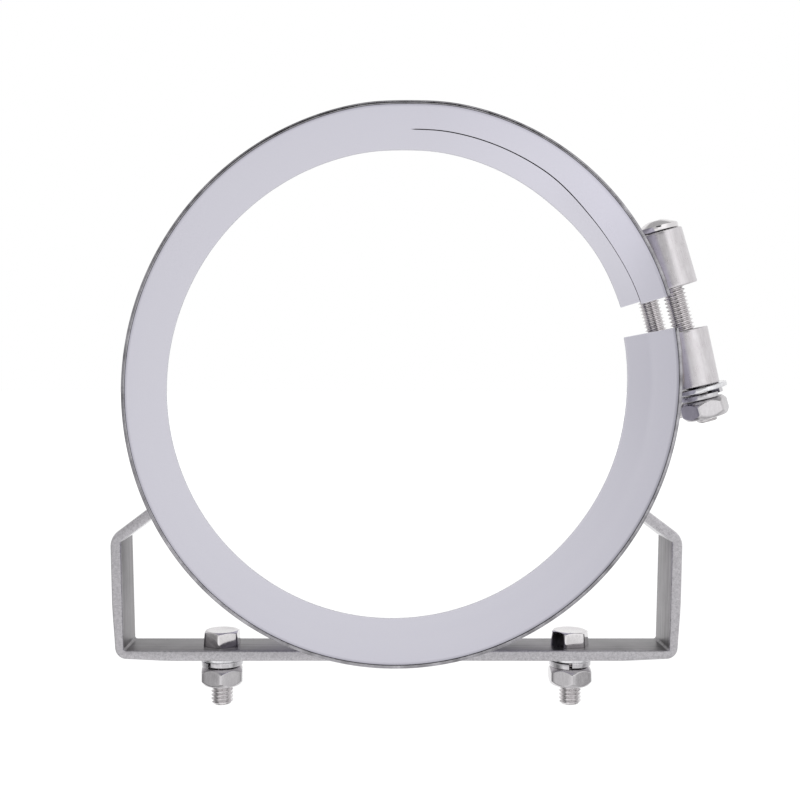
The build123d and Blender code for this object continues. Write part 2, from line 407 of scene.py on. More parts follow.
def make_band():
    """The whole rolled band: a full-width strip and two tongues, parted by the slit."""
    columns = 12
    tongue_angles = spaced(SLIT_ROOT, BAND_UPPER_END, 70)
    last = 360 + BAND_LOWER_END
    body_angles = spaced(SLIT_ROOT, last - math.degrees(BAND_EDGE / BAND_R), 280)
    bm = bmesh.new()
    for side in (-1, 1):
        end_angle = BAND_UPPER_END + (REAR_TONGUE_SHORTER if side > 0 else 0)

        def tongue(angle, inset):
            slit = slit_half(angle)
            slit_edge = max(min(SLIT_EDGE - inset, 0.6 * slit), 0)
            half = half_section(side, slit + inset + slit_edge, inset, columns)
            return half + slit_wall(side, slit, slit_edge, inset)

        rows = []
        for angle in tongue_angles:
            kept = max(angle, end_angle + 0.2)
            rows.append([on_band(kept, y, depth) for y, depth in closed(tongue(kept, 0.0))])
        grid(bm, rows + rounded_end(end_angle, 1, tongue))
        rows = []
        for angle in body_angles:
            rows.append([on_band(angle, y, depth) for y, depth in half_section(side, 0, 0, columns)])
        grid(bm, rows)

    def whole(_, inset):
        rear = half_section(1, 0, inset, columns)
        return rear + half_section(-1, 0, inset, columns)[::-1][1:-1]

    grid(bm, rounded_end(last, -1, whole))
    band = make_object("formed_band", bm, [band_steel, band_edge_steel, slit_painted_shade_steel])
    mark_band_edges(band.data)
    blend_at_hinge(band)
    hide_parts("band_upper", "band_lower")


def mark_band_edges(mesh):
    """Gives the sheet's rims the sheared edge's steel, and the slit walls and the inner rounding a
    near-black steel: painted shade.
    """
    for polygon in mesh.polygons:
        normal, centre = polygon.normal, polygon.center
        outward = (normal.x * centre.x + normal.z * centre.z) / math.hypot(centre.x, centre.z)
        if abs(normal.y) > 0.3:
            # Slit walls and the inner rounding: painted shade.
            gets_painted_shade = outward < -0.3 or abs(centre.y) < SLIT_WIDTH * MM
            polygon.material_index = 2 if gets_painted_shade else 1


def blend_at_hinge(band):
    """Works out the direction across the band at the hinge, opposite the closing gap, and bakes the band's
    placement into its mesh.
    """
    hinge = Vector(joints["band_flex"]["pos_m"])
    lower = on_band(BAND_LOWER_END, 0, BAND_T / 2) * MM - hinge
    upper = on_band(BAND_UPPER_END, 0, BAND_T / 2) * MM - hinge
    across = (lower + upper).cross(Vector((0, 1, 0))).normalized()
    if across.z < 0:
        across = -across
    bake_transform(band)


def keep_outside(bm, sink):
    """Pushes a mesh outwards until no point is deeper than sink in the band's wall."""
    for vertex in bm.verts:
        distance = math.hypot(vertex.co.x, vertex.co.z)
        angle = math.degrees(math.atan2(vertex.co.z, vertex.co.x)) % 360
        floor = band_radius(angle, vertex.co.y) - sink
        if distance < floor:
            vertex.co.x *= floor / distance
            vertex.co.z *= floor / distance


# ---------------------------------------------------------------- lugs and welds

def make_lug(place, side, body):
    """A tube round a clamp bolt, sunk into the band's wall."""
    half = LUG_LENGTH / 2
    profile = [(LUG_BORE_R, -half + LUG_EDGE), (LUG_BORE_R + LUG_EDGE, -half)]
    for height in (-half, half):
        inward = math.copysign(1, -height)
        corner = []
        for bend in spaced(0, 90, 4):
            turn = math.radians(bend)
            radius = LUG_R - LUG_EDGE + LUG_EDGE * math.sin(turn)
            corner.append((radius, height + inward * LUG_EDGE * (1 - math.cos(turn))))
        profile += corner if height < 0 else corner[::-1]
        if height < 0:
            walls = spaced(-half + LUG_EDGE, half - LUG_EDGE, 24)[1:-1]
            profile += [(LUG_R, level) for level in walls]
    profile += [(LUG_BORE_R + LUG_EDGE, half), (LUG_BORE_R, half - LUG_EDGE)]
    bm = bmesh.new()
    rows = []
    for angle in spaced(0, 360, 72):
        turn = math.radians(angle)
        ring = [Vector((r * math.cos(turn), r * math.sin(turn), z)) for r, z in profile]
        rows.append(closed(ring))
    grid(bm, rows)
    bm.transform(lug_place(place, side))
    keep_outside(bm, LUG_SINK)
    name = f"lug_{place}_{side}"
    add_piece(f"{name}_tube", bm, [lug_steel], body, [name])


def bead_rows(centres, sizes):
    """Rings round a weld bead. Each centre is a point with its upright and crosswise directions."""
    rows = []
    for (point, up, across), (width, height) in zip(centres, sizes):
        ring = []
        for angle in spaced(0, 360, 16):
            turn = math.radians(angle)
            ring.append(point + across * width * math.cos(turn) + up * height * math.sin(turn))
        rows.append(ring)
    start = [centres[0][0]] * len(rows[0])
    end = [centres[-1][0]] * len(rows[0])
    return [start] + rows + [end]


def ripple(length, ripple_pitch, width, height, index, count):
    """The width and height of a bead at one of its steps: solidified ripples and round ends."""
    along = length * index / count
    wave = 1 + RIPPLE_HEIGHT * abs(math.sin(math.pi * along / ripple_pitch))
    end = min(along, length - along)
    roundness = math.sqrt(max(1 - max(1 - end / height, 0) ** 2, 0.0))
    roundness = max(roundness, BEAD_END)
    return width * wave * roundness, height * wave * roundness


def lug_bead(bm, place, side):
    """One bead up one side of a lug, round its far end and down the other side."""
    centre_y = clamp_place(side).translation.y
    sign = 1 if place == "upper" else -1
    near = BOLT_LINE + sign * LUG_BEAD_NEAR
    far = BOLT_LINE + sign * LUG_BEAD_FAR
    flank = []
    for share in spaced(0, 1, 24):
        y = LUG_BEAD_NEAR_Y + (LUG_BEAD_FAR_Y - LUG_BEAD_NEAR_Y) * share
        flank.append((near + (far - near) * share, y))
    end = []
    for bend in spaced(-90, 90, 16)[1:-1]:
        turn = math.radians(bend)
        end.append((far + sign * LUG_BEAD_BULGE * math.cos(turn), LUG_BEAD_FAR_Y * math.sin(turn)))
    path = [(angle, -y) for angle, y in flank] + end + flank[::-1]
    points = [on_band(angle, centre_y + y, -LUG_BEAD_LIFT) for angle, y in path]
    centres = []
    for index, point in enumerate(points):
        ahead = points[min(index + 1, len(points) - 1)]
        behind = points[max(index - 1, 0)]
        along = (ahead - behind).normalized()
        up = Vector((point.x, 0, point.z)).normalized()
        centres.append((point, up, along.cross(up).normalized()))
    count = len(points) - 1
    length = sum((b - a).length for a, b in zip(points, points[1:]))
    sizes = []
    for index in range(count + 1):
        sizes.append(ripple(length, LUG_BEAD_RIPPLE, *LUG_BEAD_SIZE, index, count))
    grid(bm, bead_rows(centres, sizes))


def make_lug_welds(place, body):
    """The beads that hold the front and rear lugs of one end to the band."""
    bm = bmesh.new()
    for side in ("front", "rear"):
        lug_bead(bm, place, side)
    keep_outside(bm, LUG_SINK)
    name = f"lug_welds_{place}"
    add_piece(f"{name}_beads", bm, [weld_steel], body, [name])


# ---------------------------------------------------------------- fasteners

def hex_angles(turn):
    """Angles round a hexagon, close together at its corners, with the first repeated."""
    steps = (-30, -28.8, -27.2, -24, -18, -9, 0, 9, 18, 24, 27.2, 28.8)
    angles = [turn + 30 + 60 * side + step for side in range(6) for step in steps]
    return angles + [angles[0] + 360]


def hex_radius(angle, turn, flats):
    """The distance from a hexagon's middle to its side, with the corners rounded off."""
    off_middle = (angle - turn) % 60 - 30
    plain = flats / 2 / math.cos(math.radians(off_middle))
    corner = flats / math.sqrt(3) - HEX_CORNER_LOSS
    total = math.exp(-plain / HEX_SOFTNESS) + math.exp(-corner / HEX_SOFTNESS)
    return -HEX_SOFTNESS * math.log(total)


def hex_profile(radius, flats, low, high, kind, chamfered):
    """The (radius, z) points up the side of a hexagon at one angle, with its conical chamfers."""
    share, degrees, edge = HEX_CHAMFERS[kind]
    face = flats / 2 * share
    slope = math.radians(degrees)
    drop = (radius - face) * math.tan(slope)
    run, rise = edge * math.cos(slope), edge * math.sin(slope)
    ends = []
    for level, inward, cone in ((low, 1, chamfered[0]), (high, -1, chamfered[1])):
        if cone:
            end = [
                (face - edge, level),
                (face - edge / 3, level + inward * rise / 5),
                (face + run / 2, level + inward * rise * 0.8),
                (face + run, level + inward * rise * 1.15),
                (radius - run, level + inward * (drop - rise)),
                (radius - run / 3, level + inward * (drop - rise / 6)),
                (radius, level + inward * (drop + edge * 0.6)),
                (radius, level + inward * (drop + edge * 1.4)),
            ]
        else:
            end = [
                (radius - edge * 1.5, level),
                (radius - edge, level),
                (radius - edge / 3, level + inward * edge / 3),
                (radius, level + inward * edge),
            ]
        ends.append(end)
    return ends[0] + ends[1][::-1]


def polar(radius, angle, height):
    """The point at a radius, angle and height."""
    turn = math.radians(angle)
    return Vector((radius * math.cos(turn), radius * math.sin(turn), height))


def thread_rows(angles, top, tip):
    """Rows that follow a right-hand helix down from top to tip, cut square and chamfered."""
    profile = ((0, THREAD_R), (0.13, THREAD_R), (0.42, ROOT_R), (0.56, ROOT_R - 0.03), (0.7, ROOT_R))
    turns = math.ceil((top - tip) / PITCH) + 2
    rows = []
    for turn in range(turns):
        for share, radius in profile:
            row = []
            for angle in angles:
                height = top + PITCH * (1 - turn - share + (angle - angles[0]) / 360)
                if height >= top:
                    row.append(polar(ROOT_R, angle, top))
                elif height <= tip:
                    row.append(polar(TIP_R, angle, tip))
                else:
                    row.append(polar(min(radius, TIP_R + height - tip), angle, height))
            rows.append(row)
    return rows


def tip_rows(angles, tip):
    """The flat end of a bolt, with a faint dish in it."""
    return [
        [polar(TIP_R * 0.55, angle, tip + 0.05) for angle in angles],
        [polar(0, angle, tip + 0.08) for angle in angles],
    ]


def add_bolt(name, bm, body, place, seat):
    """A finished bolt whose thread root takes a darker, rougher steel: the darker colour is painted shade in
    the thread's grooves.
    """
    bolt = add_piece(f"{name}_threaded", bm, [bolt_steel, root_painted_shade_steel], body, [name], place)
    inverse = place.inverted()
    for polygon in bolt.data.polygons:
        centre = inverse @ (polygon.center / MM)
        if centre.z < seat and ROOT_R - 0.1 < math.hypot(centre.x, centre.y) < ROOT_R + 0.2:
            polygon.material_index = 1


def make_clamp_bolt(side):
    """A fully threaded bolt with a low domed head and a hexagon socket."""
    place = clamp_place(side)
    name = f"clamp_bolt_{side}"
    tip, crown = reach(name, place)
    seat = crown - DOME_HEIGHT
    turn = DOME_TURNS[side]
    angles = hex_angles(turn)

    def dome_height(radius):
        outward = max(radius - DOME_TOP_R, 0) / (DOME_R - DOME_TOP_R)
        return crown - (DOME_HEIGHT - DOME_RIM) * outward**DOME_BEND

    def socket_row(grow, height_at):
        row = []
        for angle in angles:
            radius = hex_radius(angle, turn, SOCKET_AF) + grow
            row.append(polar(radius, angle, height_at(radius)))
        return row

    floor = crown - SOCKET_DEPTH
    rows = [
        [polar(0, angle, floor - 0.5) for angle in angles],
        socket_row(-0.25, lambda radius: floor),
        socket_row(0, lambda radius: floor + 0.12),
        socket_row(0, lambda radius: dome_height(radius) - 0.12),
        socket_row(0.05, lambda radius: dome_height(radius) - 0.03),
        socket_row(0.16, dome_height),
    ]
    for radius in spaced(2.75, DOME_R - 0.25, 10):
        rows.append([polar(radius, angle, dome_height(radius)) for angle in angles])
    rim_top = seat + DOME_RIM
    upper_rim = ((0.08, rim_top + 0.06), (0.02, rim_top), (0.0, rim_top - 0.12))
    lower_rim = ((0.0, seat + 0.14), (0.04, seat + 0.04), (0.14, seat))
    for inset, height in upper_rim + lower_rim:
        rows.append([polar(DOME_R - inset, angle, height) for angle in angles])
    rows += thread_rows(angles, seat, tip) + tip_rows(angles, tip)
    bm = bmesh.new()
    grid(bm, rows)
    add_bolt(name, bm, f"bolt_{side}", place, seat)


def make_base_bolt(side):
    """A short hexagon-head bolt that points down through the base strip."""
    place = base_place(side)
    name = f"base_bolt_{side}"
    tip, crown = reach(name, place)
    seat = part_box("mounting_foot")[0].z / MM + BAR_T
    turn = HEAD_TURNS[side]
    angles = hex_angles(turn)
    columns = []
    for angle in angles:
        radius = hex_radius(angle, turn, HEAD_AF)
        columns.append(hex_profile(radius, HEAD_AF, seat, crown, "head", (False, True))[::-1])
    rows = [[polar(0, angle, crown - 0.12) for angle in angles]]
    rows.append([polar(HEAD_AF * 0.3, angle, crown - 0.1) for angle in angles])
    rows.append([polar(HEAD_AF * 0.36, angle, crown) for angle in angles])
    for level in zip(*columns):
        row = []
        for angle, (radius, height) in zip(angles, level):
            draft = 1 - HEAD_DRAFT * (height - seat) / (crown - seat)
            row.append(polar(radius * draft, angle, height))
        rows.append(row)
    rows += thread_rows(angles, seat, tip) + tip_rows(angles, tip)
    bm = bmesh.new()
    grid(bm, rows)
    add_bolt(name, bm, "clamp_base", place, seat)


def make_nut(name, body, place, turn):
    """A hexagon nut with conical chamfers on both faces and a countersunk bore."""
    low, high = reach(name, place)
    rows = []
    for angle in hex_angles(turn):
        radius = hex_radius(angle, turn, NUT_AF)
        profile = [(NUT_BORE_R, low + 0.45), (NUT_BORE_R + 0.42, low + 0.03), (NUT_BORE_R + 0.5, low)]
        profile += hex_profile(radius, NUT_AF, low, high, "nut", (True, True))
        profile += [(NUT_BORE_R + 0.5, high), (NUT_BORE_R + 0.42, high - 0.03), (NUT_BORE_R, high - 0.45)]
        rows.append(closed([polar(r, angle, z) for r, z in profile]))
    bm = bmesh.new()
    grid(bm, rows)
    add_piece(f"{name}_hexagon", bm, [nut_steel], body, [name], place)


def ring_profile(inner, outer, low, high, edge):
    """A closed round-cornered section of a ring, as (radius, z) points."""
    corners = (
        (inner + edge, low + edge, 180),
        (outer - edge, low + edge, 270),
        (outer - edge, high - edge, 0),
        (inner + edge, high - edge, 90),
    )
    points = []
    for radius, height, start in corners:
        for bend in spaced(start, start + 90, 3):
            turn = math.radians(bend)
            points.append((radius + edge * math.cos(turn), height + edge * math.sin(turn)))
    return points


def make_flat_washer(name, body, place, shift=0.0):
    """A stamped flat washer with rolled edges, a little off its bolt's axis."""
    low, high = reach(name, place)
    box_low, box_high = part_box(name)
    outer = (box_high.y - box_low.y) / 2 / MM
    profile = ring_profile(FLAT_WASHER_BORE_R, outer - shift, low, high, WASHER_EDGE)
    bm = bmesh.new()
    rows = [closed([polar(r, angle, z) for r, z in profile]) for angle in spaced(0, 360, 72)]
    grid(bm, rows)
    bm.transform(Matrix.Translation((shift, 0, 0)))
    add_piece(f"{name}_stamped", bm, [washer_steel], body, [name], place)


def make_spring_washer(name, body, place, turn, gauge):
    """A spring washer: one turn of square wire whose ends stand a little apart."""
    low, high = reach(name, place)
    rise = high - low - gauge
    start = turn - 90 + SPRING_SPLIT / 2
    end = turn - 90 + 360 - SPRING_SPLIT / 2
    bm = bmesh.new()
    rows = []
    for angle in spaced(start, end, 80):
        lift = rise * (end - angle) / (end - start)
        bottom = low + lift
        profile = ring_profile(
            SPRING_WASHER_BORE_R, SPRING_WASHER_R, bottom, bottom + gauge, WIRE_EDGE,
        )
        rows.append(closed([polar(r, angle, z) for r, z in profile]))
    middle = (SPRING_WASHER_BORE_R + SPRING_WASHER_R) / 2
    first = [polar(middle, start, low + rise + gauge / 2)] * len(rows[0])
    last = [polar(middle, end, low + gauge / 2)] * len(rows[0])
    grid(bm, [first] + rows + [last])
    add_piece(f"{name}_coil", bm, [spring_steel], body, [name], place)


# ---------------------------------------------------------------- foot

def fillet_path(corners, radii):
    """Samples of a polyline with rounded corners: point, inward normal, depth of the crease inside."""
    samples = []
    count = len(corners) - 1
    position = corners[0]
    for index in range(1, count + 1):
        here = corners[index]
        direction = (here - corners[index - 1]).normalized()
        normal = Vector((-direction.y, direction.x))
        if index == count:
            stop = here
        else:
            after = (corners[index + 1] - here).normalized()
            angle = direction.angle_signed(after)
            trim = radii[index - 1] * math.tan(abs(angle) / 2)
            stop = here - direction * trim
        steps = max(2, round((stop - position).length / 3))
        samples += [(position.lerp(stop, share), normal, 0.0) for share in spaced(0, 1, steps)]
        if index < count:
            centre = stop + normal * radii[index - 1]
            for share in spaced(0, 1, 12)[1:]:
                turn = -angle * share
                spun = Matrix.Rotation(turn, 2) @ normal
                off_end = angle * min(share, 1 - share)
                crease = (radii[index - 1] - BAR_T) * (1 / math.cos(off_end) - 1)
                samples.append((centre - spun * radii[index - 1], spun, crease))
            position = samples[-1][0]
    return samples


def bar_section():
    """The closed round-cornered section of the bar, as (y, depth) points."""
    corners = (
        (-BAR_HALF + BAR_EDGE, BAR_EDGE, 180),
        (BAR_HALF - BAR_EDGE, BAR_EDGE, 270),
        (BAR_HALF - BAR_EDGE, BAR_T - BAR_EDGE, 0),
        (-BAR_HALF + BAR_EDGE, BAR_T - BAR_EDGE, 90),
    )
    points = []
    for y, depth, start in corners:
        for bend in spaced(start, start + 90, 4):
            turn = math.radians(bend)
            points.append((y + BAR_EDGE * math.cos(turn), depth + BAR_EDGE * math.sin(turn)))
    return points


def foot_path():
    """The outer face of the bent bar, from the left arm's end to the right arm's."""
    slope = math.radians(ARM_SLOPE)
    tip_half = ELBOW_HALF - ARM_REACH * math.cos(slope)
    tip_z = ELBOW_Z + ARM_REACH * math.sin(slope)
    corners = [
        Vector((FOOT_X - tip_half, tip_z)),
        Vector((FOOT_X - ELBOW_HALF, ELBOW_Z)),
        Vector((FOOT_X - CORNER_HALF, BASE_BOTTOM)),
        Vector((FOOT_X + CORNER_HALF, BASE_BOTTOM)),
        Vector((FOOT_X + ELBOW_HALF, ELBOW_Z)),
        Vector((FOOT_X + tip_half, tip_z)),
    ]
    return fillet_path(corners, (ELBOW_RADIUS, CORNER_RADIUS, CORNER_RADIUS, ELBOW_RADIUS))


def clearance(point):
    """How far a point stands outside the band."""
    angle = math.degrees(math.atan2(point.z, point.x)) % 360
    return math.hypot(point.x, point.z) - band_radius(angle)


def reach_band(point, direction, sink):
    """Moves a point along a direction until it lies sink below the band's surface."""
    low, high = 0.0, 30.0
    for _ in range(40):
        middle = (low + high) / 2
        if clearance(point + direction * middle) > -sink:
            low = middle
        else:
            high = middle
    return point + direction * low


def arm_ends():
    """For each arm: a start outside the band on its outer face, its direction and its inward normal."""
    samples = foot_path()
    ends = []
    for outer, inner in ((0, 1), (-1, -2)):
        tip, normal, _ = samples[outer]
        direction = (tip - samples[inner][0]).normalized()
        back = tip - direction * ARM_BACK
        ends.append((
            Vector((back.x, 0, back.y)),
            Vector((direction.x, 0, direction.y)),
            Vector((normal.x, 0, normal.y)),
        ))
    return ends


def stretched(point, depth):
    """A depth in the bar, moved inwards on the outside of the lower bends, where the metal has stretched."""
    side = math.copysign(1, point.x - FOOT_X)
    corner = Vector((FOOT_X + side * CORNER_HALF, BASE_BOTTOM))
    near = smoothstep(1 - (point - corner).length / STRETCH_REACH)
    return depth + BEND_THINNING * near * (1 - depth / BAR_T)


def foot_rows():
    """The bent bar's rings, from the left arm's end in the band to the right arm's."""
    section = bar_section()
    rows = []
    for point, normal, crease in foot_path():
        if point.y < ELBOW_Z - BAR_HALF:
            crease = 0.0
        ring = []
        for y, depth in section:
            place = point + normal * (stretched(point, depth) - crease * depth / BAR_T)
            ring.append(Vector((place.x, y, place.y)))
        rows.append(closed(ring))
    rows = [row for row in rows if all(clearance(p) > ARM_CLEAR or p.z < STRIP_TOP for p in row)]
    for end, (start, direction, normal) in zip((0, -1), arm_ends()):
        ring = []
        for y, depth in section:
            corner = start + normal * depth + Vector((0, y, 0))
            ring.append(reach_band(corner, direction, ARM_SINK))
        centre = sum(ring, Vector()) / len(ring)
        cap = [closed(ring), [centre] * (len(ring) + 1)]
        rows = cap[::-1] + rows if end == 0 else rows + cap
    return rows


def drill_foot(foot):
    """Cuts the two bolt holes, with broken edges, and returns the new mesh."""
    levels = (
        (0, -1), (HOLE_R + HOLE_EDGE, -1), (HOLE_R + HOLE_EDGE, 0), (HOLE_R, HOLE_EDGE),
        (HOLE_R, BAR_T - HOLE_EDGE), (HOLE_R + HOLE_EDGE, BAR_T), (HOLE_R + HOLE_EDGE, BAR_T + 1),
        (0, BAR_T + 1),
    )
    cutters = []
    for side in ("left", "right"):
        cutter = bmesh.new()
        place = base_place(side) @ Matrix.Translation((0, 0, BASE_BOTTOM))
        grid(cutter, [[polar(r, angle, z) for angle in spaced(0, 360, 48)] for r, z in levels])
        drill = make_object(f"drill_{side}", cutter, [], place)
        cutters.append(drill)
        hole = foot.modifiers.new(f"hole_{side}", "BOOLEAN")
        hole.operation = "DIFFERENCE"
        hole.solver = "EXACT"
        hole.object = drill
    bpy.context.view_layer.update()
    evaluated = foot.evaluated_get(bpy.context.evaluated_depsgraph_get())
    cut = bpy.data.meshes.new_from_object(evaluated)
    foot.modifiers.clear()
    foot.data = cut
    for drill in cutters:
        bpy.data.objects.remove(drill)
    cut.shade_smooth()
    cut.set_sharp_from_angle(angle=SHARP_ANGLE)
    return cut


def mark_foot_faces(mesh):
    """Gives the bar's edges the mill-edge steel and its inner edge roundings the same brighter steel as a
    painted highlight line; its outer and under-arm faces a lighter copy of the face steel as painted light,
    and its inner faces the darker copy as painted shade.
    """
    middle = Vector((FOOT_X, 0, (ELBOW_Z + BASE_BOTTOM) / 2)) * MM
    for polygon in mesh.polygons:
        normal, centre = polygon.normal, polygon.center
        under_arm = normal.z < -0.3 and centre.z > (ELBOW_Z - ELBOW_RADIUS) * MM
        outside = Vector((normal.x, 0, normal.z)).dot(centre - middle) > 0
        # Painted light and shade by facing: outer and under-arm faces take the lighter copy, inner faces the
        # darker one, inner edge roundings the brighter edge steel as a highlight line.
        if abs(normal.y) > 0.9:
            polygon.material_index = 1
        elif under_arm or outside:
            polygon.material_index = 2
        else:
            polygon.material_index = 1 if abs(normal.y) > 0.05 else 0


def make_foot():
    """The mounting foot: one flat bar with four bends, the upper two creased inside."""
    bm = bmesh.new()
    grid(bm, foot_rows())
    foot = make_object("bent_bar_foot", bm, [foot_painted_shade_steel, foot_edge_and_highlight_steel, foot_painted_light_steel])
    mark_foot_faces(drill_foot(foot))
    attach(foot, "clamp_base")
    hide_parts("mounting_foot")


def make_foot_welds():
    """A bead above and below each arm of the foot, across the bar's width."""
    bm = bmesh.new()
    for start, direction, normal in arm_ends():
        for depth, lift in ((0.0, -FOOT_BEAD_LIFT), (BAR_T, FOOT_BEAD_LIFT)):
            corner = reach_band(start + normal * depth, direction, 0.0)
            centre = corner + normal * lift
            outward = Vector((corner.x, 0, corner.z)).normalized()
            across = outward.cross(Vector((0, 1, 0)))
            count = 40
            length = 2 * BAR_HALF
            centres = []
            sizes = []
            for index, y in enumerate(spaced(-BAR_HALF, BAR_HALF, count)):
                centres.append((centre + Vector((0, y, 0)), outward, across))
                sizes.append(ripple(length, FOOT_BEAD_RIPPLE, *FOOT_BEAD_SIZE, index, count))
            grid(bm, bead_rows(centres, sizes))
    keep_outside(bm, LUG_SINK)
    add_piece("foot_weld_beads", bm, [weld_steel], "clamp_base", ["foot_welds"])


# ---------------------------------------------------------------- materials

def add_node(tree, kind, **settings):
    """A shader node with its settings and input values."""
    node = tree.nodes.new(kind)
    for key, value in settings.items():
        if hasattr(node, key):
            setattr(node, key, value)
        else:
            node.inputs[key.replace("_", " ")].default_value = value
    return node


def map_range(tree, source, start, end):
    """A socket's value, mapped from one pair of limits to another."""
    mapping = add_node(tree, "ShaderNodeMapRange")
    for label, (low, high) in (("From", start), ("To", end)):
        mapping.inputs[f"{label} Min"].default_value = low
        mapping.inputs[f"{label} Max"].default_value = high
    tree.links.new(source, mapping.inputs["Value"])
    return mapping.outputs[0]


def round_the_pipe(tree, place):
    """Places on the band, with X as the length along its arc instead."""
    link = tree.links.new
    split = add_node(tree, "ShaderNodeSeparateXYZ")
    link(place, split.inputs[0])
    angle = add_node(tree, "ShaderNodeMath", operation="ARCTAN2")
    link(split.outputs["Z"], angle.inputs[0])
    link(split.outputs["X"], angle.inputs[1])
    arc = add_node(tree, "ShaderNodeMath", operation="MULTIPLY")
    arc.inputs[1].default_value = BAND_R * MM
    link(angle.outputs[0], arc.inputs[0])
    join = add_node(tree, "ShaderNodeCombineXYZ")
    link(arc.outputs[0], join.inputs["X"])
    link(split.outputs["Y"], join.inputs["Y"])
    return join.outputs[0]


def steel(name, dark, light, roughness, grain, blotch, bump, lean=0.0, polar_grain=False):
    """Stainless steel: streaks along the grain, cloudy tone, varied gloss and fine relief."""
    material = bpy.data.materials.new(name)
    material.use_nodes = True
    tree = material.node_tree
    shader = tree.nodes["Principled BSDF"]
    shader.inputs["Metallic"].default_value = 1.0
    link = tree.links.new
    place = add_node(tree, "ShaderNodeTexCoord").outputs["Object"]
    if polar_grain:
        place = round_the_pipe(tree, place)
    turned = add_node(tree, "ShaderNodeMapping")
    turned.inputs["Rotation"].default_value = (0, math.radians(lean), 0)
    link(place, turned.inputs["Vector"])
    stretch = add_node(tree, "ShaderNodeMapping")
    stretch.inputs["Scale"].default_value = grain
    link(turned.outputs[0], stretch.inputs["Vector"])
    streaks = add_node(tree, "ShaderNodeTexNoise", Scale=1.0, Detail=5.0, Roughness=0.6)
    link(stretch.outputs[0], streaks.inputs["Vector"])
    clouds = add_node(tree, "ShaderNodeTexNoise", Scale=blotch, Detail=4.0, Roughness=0.55)
    link(place, clouds.inputs["Vector"])
    cloud_share = add_node(tree, "ShaderNodeMath", operation="MULTIPLY")
    cloud_share.inputs[1].default_value = 1 - STREAK_SHARE
    link(clouds.outputs[0], cloud_share.inputs[0])
    mixed = add_node(tree, "ShaderNodeMath", operation="MULTIPLY_ADD")
    mixed.inputs[1].default_value = STREAK_SHARE
    link(streaks.outputs[0], mixed.inputs[0])
    link(cloud_share.outputs[0], mixed.inputs[2])
    tone = add_node(tree, "ShaderNodeValToRGB")
    for stop, position, color in zip(tone.color_ramp.elements, TONE_LIMITS, (dark, light)):
        stop.position = position
        stop.color = (*color, 1)
    link(mixed.outputs[0], tone.inputs[0])
    link(tone.outputs[0], shader.inputs["Base Color"])
    gloss = map_range(tree, mixed.outputs[0], GLOSS_LIMITS, roughness)
    link(gloss, shader.inputs["Roughness"])
    relief = add_node(tree, "ShaderNodeBump")
    relief.inputs["Strength"].default_value = bump
    relief.inputs["Distance"].default_value = RELIEF * MM
    link(streaks.outputs[0], relief.inputs["Height"])
    link(relief.outputs[0], shader.inputs["Normal"])
    return material


def paint_front_rim_shade(material):
    """Painted shade: dims the band's colour close to its front rim."""
    tree = material.node_tree
    shader = tree.nodes["Principled BSDF"]
    split = add_node(tree, "ShaderNodeSeparateXYZ")
    tree.links.new(add_node(tree, "ShaderNodeTexCoord").outputs["Object"], split.inputs[0])
    front = (-BAND_HALF * MM, (RIM_WIDTH - BAND_HALF) * MM)
    dim = map_range(tree, split.outputs["Y"], front, (RIM_PAINTED_SHADE, 1.0))
    scaled = add_node(tree, "ShaderNodeVectorMath", operation="SCALE")
    tree.links.new(shader.inputs["Base Color"].links[0].from_socket, scaled.inputs[0])
    tree.links.new(dim, scaled.inputs["Scale"])
    tree.links.new(scaled.outputs[0], shader.inputs["Base Color"])


band_steel = steel(
    "band_satin", (0.487, 0.474, 0.560), (0.517, 0.504, 0.593), (0.22, 0.28),
    grain=(14, 420, 100), blotch=30.0, bump=0.02, polar_grain=True,
)
# Painted shade along the band's front rim.
paint_front_rim_shade(band_steel)
band_edge_steel = steel(
    "band_sheared_edge", (0.14, 0.135, 0.145), (0.48, 0.47, 0.50), (0.14, 0.26),
    grain=(300, 3000, 600), blotch=220.0, bump=0.10, polar_grain=True,
)
# Near black: painted shade in the slit and along the band's inner rounding.
slit_painted_shade_steel = steel(
    "band_slit_painted_shade", (0.03, 0.03, 0.035), (0.09, 0.085, 0.09), (0.30, 0.50),
    grain=(300, 3000, 600), blotch=220.0, bump=0.10, polar_grain=True,
)
lug_steel = steel(
    "lug_brushed", (0.54, 0.515, 0.53), (0.72, 0.70, 0.72), (0.24, 0.36),
    grain=(1800, 1800, 220), lean=15.0, blotch=420.0, bump=0.08,
)
weld_steel = steel(
    "weld_as_laid", (0.28, 0.25, 0.23), (0.52, 0.49, 0.47), (0.24, 0.42),
    grain=(900, 900, 900), blotch=320.0, bump=0.25,
)
# Two copies of one steel, chosen by which way a face looks: darker for painted shade on the inner faces,
# lighter for painted light on the outer and under-arm faces.
foot_painted_shade_steel = steel(
    "foot_face_painted_shade", (0.04, 0.036, 0.04), (0.36, 0.345, 0.36), (0.28, 0.46),
    grain=(30, 1000, 30), blotch=90.0, bump=0.40,
)
foot_painted_light_steel = steel(
    "foot_face_painted_light", (0.48, 0.47, 0.49), (0.76, 0.75, 0.77), (0.24, 0.40),
    grain=(30, 1400, 30), blotch=90.0, bump=0.20,
)
# The bar's mill edges, and on its inner edge roundings a painted highlight line.
foot_edge_and_highlight_steel = steel(
    "foot_mill_edge_and_highlight", (0.31, 0.30, 0.32), (0.66, 0.645, 0.67), (0.34, 0.56),
    grain=(3600, 3600, 3600), blotch=1500.0, bump=0.35,
)
